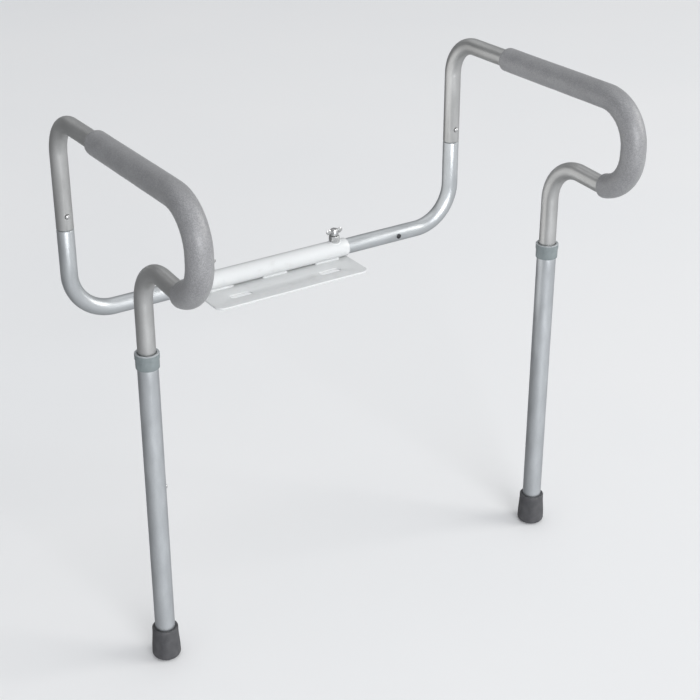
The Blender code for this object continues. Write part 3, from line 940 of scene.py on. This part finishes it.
# -------- procedural materials
def add(tree, kind, inputs=(), **settings):
    """A node with its settings, and its inputs as numbers, colours or linked sockets."""
    made = tree.nodes.new(kind)
    for name, value in settings.items():
        setattr(made, name, value)
    for name, value in dict(inputs).items():
        if isinstance(value, bpy.types.NodeSocket):
            tree.links.new(value, made.inputs[name])
        else:
            made.inputs[name].default_value = value
    return made


def coordinates(tree, scale, bent=True):
    """Texture coordinates in metres: along the straightened tube, or the object's own."""
    if bent:
        source = add(tree, "ShaderNodeAttribute", attribute_name="straight").outputs["Vector"]
    else:
        source = add(tree, "ShaderNodeTexCoord").outputs["Object"]
    scales = (scale, scale, scale) if isinstance(scale, (int, float)) else scale
    mapping = add(tree, "ShaderNodeMapping", {"Vector": source, "Scale": scales})
    return mapping.outputs["Vector"]


def noise_field(tree, scale, bent=True, detail=3.0, roughness=0.5):
    """Soft noise from 0 to 1; scale is in features per metre, for all axes or for each."""
    vector = coordinates(tree, scale, bent)
    made = add(tree, "ShaderNodeTexNoise", {"Vector": vector, "Scale": 1.0, "Detail": detail,
                                            "Roughness": roughness})
    return made.outputs["Fac"]


def cell_field(tree, scale, output):
    vector = coordinates(tree, scale)
    return add(tree, "ShaderNodeTexVoronoi", {"Vector": vector, "Scale": 1.0}).outputs[output]


def cell_tones(tree, scale):
    """A random grey for each cell."""
    return add(tree, "ShaderNodeRGBToBW", {"Color": cell_field(tree, scale, "Color")}).outputs["Val"]


def remap(tree, value, low, high, new_low, new_high):
    """Carries the range low to high over to new_low to new_high, and clamps there."""
    made = add(tree, "ShaderNodeMapRange", {"Value": value, "From Min": low, "From Max": high,
                                            "To Min": new_low, "To Max": new_high})
    return made.outputs["Result"]


def layer(tree, under, over, field, low, high, most=1):
    """Mixes over into under: nothing of it where field is low, and most where it is high."""
    share = remap(tree, field, low, high, 0, most)
    return add(tree, "ShaderNodeMix", {0: share, 6: under, 7: over}, data_type="RGBA").outputs[2]


def bumped(tree, height, strength, distance, normal=None):
    inputs = {"Height": height, "Strength": strength, "Distance": distance}
    if normal:
        inputs["Normal"] = normal
    return add(tree, "ShaderNodeBump", inputs).outputs["Normal"]


def start_material(name):
    mat = bpy.data.materials.new(name)
    mat.use_nodes = True
    tree = mat.node_tree
    return mat, tree, tree.nodes["Principled BSDF"]


def set_constants(shader, **values):
    """Constants on the shader's own sockets, with _ for the spaces in their names."""
    for name, value in values.items():
        shader.inputs[name.replace("_", " ")].default_value = value


def connect(tree, shader, colour=None, rough=None, normal=None):
    for name, socket in (("Base Color", colour), ("Roughness", rough), ("Normal", normal)):
        if socket:
            tree.links.new(socket, shader.inputs[name])


def rgb(r, g, b):
    return (r, g, b, 1)


def aluminium(name, light, dark, rough, spread):
    """Drawn and anodised tube: fine lines along it, and a slow cloudiness."""
    mat, tree, shader = start_material(name)
    lines = noise_field(tree, (1500, 1500, 14), detail=4.0, roughness=0.65)
    clouds = noise_field(tree, (70, 70, 22))
    specks = noise_field(tree, (1900, 1900, 700), detail=2.0)
    scratches = noise_field(tree, (2200, 2200, 45), detail=2.0)
    shadow = rgb(*(0.7 * c for c in dark))
    bright = rgb(*(min(1, 1.35 * c) for c in light))
    colour = layer(tree, rgb(*dark), rgb(*light), clouds, 0.3, 0.7)
    colour = layer(tree, colour, rgb(*dark), lines, 0.35, 0.7, 0.28)
    colour = layer(tree, colour, shadow, specks, 0.5, 0.75, 0.3)
    colour = layer(tree, colour, bright, scratches, 0.68, 0.78, 0.35)
    wear = add(tree, "ShaderNodeMath", {0: lines, 1: clouds}, operation="MULTIPLY").outputs[0]
    roughness = remap(tree, wear, 0.12, 0.42, rough - spread, rough + spread)
    normal = bumped(tree, lines, 0.22, 0.00012)
    normal = bumped(tree, specks, 0.08, 0.0001, normal)
    connect(tree, shader, colour, roughness, normal)
    set_constants(shader, Metallic=1)
    return mat


def foam_material():
    """Closed-cell foam: dark round pores, paler grains, darker specks and a faint sheen."""
    mat, tree, shader = start_material("foam_skin")
    pores = cell_field(tree, 840, "Distance")
    grains = noise_field(tree, 1100, detail=4.0, roughness=0.7)
    mottle = noise_field(tree, 720, detail=2.0, roughness=0.6)
    speckle = cell_tones(tree, 880)
    blotches = noise_field(tree, (55, 55, 40))
    dark = rgb(0.182, 0.182, 0.187)
    light = rgb(0.240, 0.240, 0.246)
    grain = rgb(0.40, 0.40, 0.41)
    pore = rgb(0.075, 0.075, 0.077)
    speck = rgb(0.105, 0.105, 0.110)
    colour = layer(tree, dark, light, blotches, 0.3, 0.7)
    colour = layer(tree, colour, grain, grains, 0.35, 0.75, 0.6)
    colour = layer(tree, colour, pore, pores, 0.36, 0.08, 0.68)
    colour = layer(tree, colour, speck, mottle, 0.42, 0.62, 0.18)
    colour = layer(tree, colour, speck, speckle, 0.3, 0.75, 0.34)
    roughness = remap(tree, grains, 0.3, 0.7, 0.40, 0.56)
    normal = bumped(tree, pores, 0.55, 0.0003)
    normal = bumped(tree, grains, 0.5, 0.0003, normal)
    connect(tree, shader, colour, roughness, normal)
    set_constants(shader, Specular_IOR_Level=0.9, Coat_Weight=0.6, Coat_Roughness=0.42,
                  Sheen_Weight=0.12, Sheen_Roughness=0.4)
    return mat


def moulded(name, light, dark, rough, grain, bump):
    """Moulded plastic or rubber: a fine eroded texture, with paler rubbed patches."""
    mat, tree, shader = start_material(name)
    fine = noise_field(tree, grain, roughness=0.6)
    patches = noise_field(tree, (110, 110, 90), detail=4.0)
    colour = layer(tree, rgb(*dark), rgb(*light), patches, 0.3, 0.72)
    colour = layer(tree, colour, rgb(*light), fine, 0.5, 0.8, 0.35)
    roughness = remap(tree, patches, 0.3, 0.7, rough - 0.06, rough + 0.08)
    connect(tree, shader, colour, roughness, bumped(tree, fine, bump, 0.00025))
    return mat


def painted():
    """White powder coat with a light orange peel and a few greyer rubbed spots."""
    mat, tree, shader = start_material("powder_coat")
    peel = noise_field(tree, 420, False, 2.0)
    marks = noise_field(tree, (38, 60, 60), False, 5.0, 0.65)
    colour = layer(tree, rgb(0.63, 0.64, 0.64), rgb(0.47, 0.47, 0.46), marks, 0.55, 0.8, 0.5)
    roughness = remap(tree, marks, 0.3, 0.75, 0.32, 0.5)
    connect(tree, shader, colour, roughness, bumped(tree, peel, 0.25, 0.0002))
    set_constants(shader, Coat_Weight=0.15)
    return mat


def plated(name, light, dark, rough):
    """Plated steel: small spangle, and faint patches."""
    mat, tree, shader = start_material(name)
    spangle = cell_tones(tree, 900)
    patches = noise_field(tree, 260)
    colour = layer(tree, rgb(*dark), rgb(*light), patches, 0.3, 0.7)
    colour = layer(tree, colour, rgb(*dark), spangle, 0, 1, 0.2)
    roughness = remap(tree, spangle, 0, 1, rough - 0.06, rough + 0.08)
    connect(tree, shader, colour, roughness, bumped(tree, patches, 0.12, 0.0001))
    set_constants(shader, Metallic=1)
    return mat


# The floor glows a little far from the frame, so that it stays pale out to the horizon:
# near and far distance, and the strength at each
FLOOR_GLOW = (3.5, 12.0, 0.0, 0.42)
DAYLIGHT = rgb(0.95, 0.97, 1.0)


def floor_material():
    mat, tree, shader = start_material("pale_floor")
    tone = noise_field(tree, 1.2, False)
    colour = layer(tree, rgb(0.86, 0.865, 0.87), rgb(0.88, 0.88, 0.88), tone, 0.3, 0.7)
    connect(tree, shader, colour)
    place = add(tree, "ShaderNodeTexCoord").outputs["Object"]
    away = add(tree, "ShaderNodeVectorMath", {0: place}, operation="LENGTH").outputs["Value"]
    tree.links.new(remap(tree, away, *FLOOR_GLOW), shader.inputs["Emission Strength"])
    set_constants(shader, Emission_Color=DAYLIGHT, Roughness=0.75, Specular_IOR_Level=0.2)
    return mat


def make_materials():
    return {
        "arm": aluminium("arm_aluminium", (0.66, 0.66, 0.65), (0.52, 0.52, 0.51), 0.37, 0.05),
        "leg": aluminium("leg_aluminium", (0.68, 0.705, 0.72), (0.55, 0.57, 0.585), 0.38, 0.05),
        "rear": aluminium("rear_aluminium", (0.63, 0.65, 0.66), (0.51, 0.53, 0.54), 0.41, 0.04),
        "foam": foam_material(),
        "collar": moulded("collar_plastic", (0.205, 0.235, 0.24), (0.155, 0.18, 0.185), 0.45, 1400, 0.18),
        # Paler colours for the collar's top face: a painted highlight for light from above
        "collar_painted_highlight": moulded("collar_painted_highlight", (0.40, 0.42, 0.43), (0.27, 0.29, 0.30), 0.42, 1400, 0.15),
        "rubber": moulded("tip_rubber", (0.080, 0.080, 0.084), (0.046, 0.046, 0.050), 0.52, 900, 0.3),
        "paint": painted(),
        "zinc": plated("zinc_plate", (0.66, 0.66, 0.65), (0.48, 0.48, 0.48), 0.30),
        "dark_steel": plated("dark_steel", (0.10, 0.10, 0.105), (0.05, 0.05, 0.052), 0.38),
        "floor": floor_material(),
    }


# -------- room, light and camera
FLOOR_HALF = 60


def make_floor(mats):
    bm = bmesh.new()
    bm.faces.new([bm.verts.new((x * FLOOR_HALF, y * FLOOR_HALF, FLOOR_Z))
                  for x, y in ((-1, -1), (1, -1), (1, 1), (-1, 1))])
    floor = finish_mesh("floor", bm, mats["floor"])
    floor.visible_glossy = False


def softbox(name, place, aim, size, power, colour):
    light = bpy.data.lights.new(name, "AREA")
    light.shape = "RECTANGLE"
    light.size, light.size_y = size
    light.energy = power
    light.color = colour
    obj = bpy.data.objects.new(name, light)
    bpy.context.scene.collection.objects.link(obj)
    obj.location = place
    obj.rotation_euler = (Vector(aim) - Vector(place)).to_track_quat("-Z", "Y").to_euler()
    obj.visible_camera = False
    return obj


def light_only(lamp, names):
    """Keeps a lamp's light on the named pieces."""
    lit = bpy.data.collections.new(lamp.name + "_pieces")
    for name in names:
        lit.objects.link(bpy.data.objects[name])
    lamp.light_linking.receiver_collection = lit


# The room is bright in front and to the right, and dimmer behind on the left. The camera
# sees one pale tone instead, so that the background looks the same all round.
WORLD_BRIGHT_SIDE = Vector((0.34, -0.94, 0.04)).normalized()
WORLD_DARK = 0.26
WORLD_BRIGHT = 0.82
WORLD_SEEN = 0.91

SOFTBOX_AIM = (0, -0.1, 0.0)
# Name, place, size, power in watts and colour
SOFTBOXES = (
    ("key", (5.6, -3.6, 3.2), (3.6, 3.6), 185, (1.0, 0.985, 0.96)),
    ("front", (-1.6, -9.3, 2.4), (4.8, 5.2), 530, (0.97, 0.98, 1.0)),
    ("top", (0.4, 1.8, 6.0), (6.0, 6.0), 62, (1.0, 1.0, 1.0)),
    ("back", (1.2, 6.5, 4.6), (5.0, 3.0), 6, (1.0, 1.0, 1.0)),
)
BOUNCE_PLACE = Vector((0.0, 0.08, 0.1))
BOUNCE_SIZE = (0.6, 0.55)
BOUNCE_POWER = 0.6


def make_lights():
    world = bpy.data.worlds.new("studio")
    world.use_nodes = True
    tree = world.node_tree
    background = tree.nodes["Background"]
    direction = add(tree, "ShaderNodeTexCoord").outputs["Generated"]
    bright_side = add(tree, "ShaderNodeVectorMath", {0: direction, 1: WORLD_BRIGHT_SIDE},
                      operation="DOT_PRODUCT").outputs["Value"]
    glow = remap(tree, bright_side, -0.9, 0.8, WORLD_DARK, WORLD_BRIGHT)
    seen = add(tree, "ShaderNodeLightPath").outputs["Is Camera Ray"]
    tree.links.new(remap(tree, seen, 0, 1, glow, WORLD_SEEN), background.inputs["Strength"])
    background.inputs["Color"].default_value = DAYLIGHT
    bpy.context.scene.world = world
    for name, place, size, power, colour in SOFTBOXES:
        softbox(name, place, SOFTBOX_AIM, size, power, colour)


def make_bounce():
    """A white card between the arms, standing where the bowl does, that lights the right arm."""
    aim = BOUNCE_PLACE + X_AXIS
    bounce = softbox("bounce", BOUNCE_PLACE, aim, BOUNCE_SIZE, BOUNCE_POWER, (1.0, 1.0, 1.0))
    light_only(bounce, ["right_" + part for part in ("arm", "rear", "grip", "leg", "collar", "tip")])


# Where the camera stands, which way it looks, and how it is rolled
CAMERA_PLACE = Vector((-0.958, -1.636, 0.8545))
CAMERA_AZIMUTH = radians(-29.77)
CAMERA_ELEVATION = radians(26.92)
CAMERA_ROLL = radians(-1.45)
CAMERA_LENS = 79.0
CAMERA_SHIFT = (0.109, 0.009)


def make_camera():
    a, e = CAMERA_AZIMUTH, CAMERA_ELEVATION
    back = Vector((sin(a) * cos(e), -cos(a) * cos(e), sin(e)))
    right = Z_AXIS.cross(back).normalized()
    up = back.cross(right)
    c, s = cos(CAMERA_ROLL), sin(CAMERA_ROLL)
    rolled_right = right * c + up * s
    rolled_up = up * c - right * s
    camera = bpy.data.cameras.new("camera")
    camera.lens = CAMERA_LENS
    camera.shift_x, camera.shift_y = CAMERA_SHIFT
    obj = bpy.data.objects.new("camera", camera)
    bpy.context.scene.collection.objects.link(obj)
    obj.matrix_world = Matrix.Translation(CAMERA_PLACE) @ Matrix(
        (rolled_right, rolled_up, back)).transposed().to_4x4()
    bpy.context.scene.camera = obj


def main():
    mats = make_materials()
    make_camera()
    make_lights()
    make_floor(mats)
    for side, sign in SIDES:
        make_arm_tube(side, sign, mats)
        make_rear_tube(side, sign, mats)
        make_foam(side, sign, mats)
        make_leg(side, sign, mats)
        make_collar(side, sign, mats)
        make_tip(side, sign, mats)
    make_plate(mats)
    make_sleeve(mats)
    make_welds(mats)
    make_fittings(mats)
    make_bounce()
    bpy.context.scene.view_settings.view_transform = "Standard"


main()
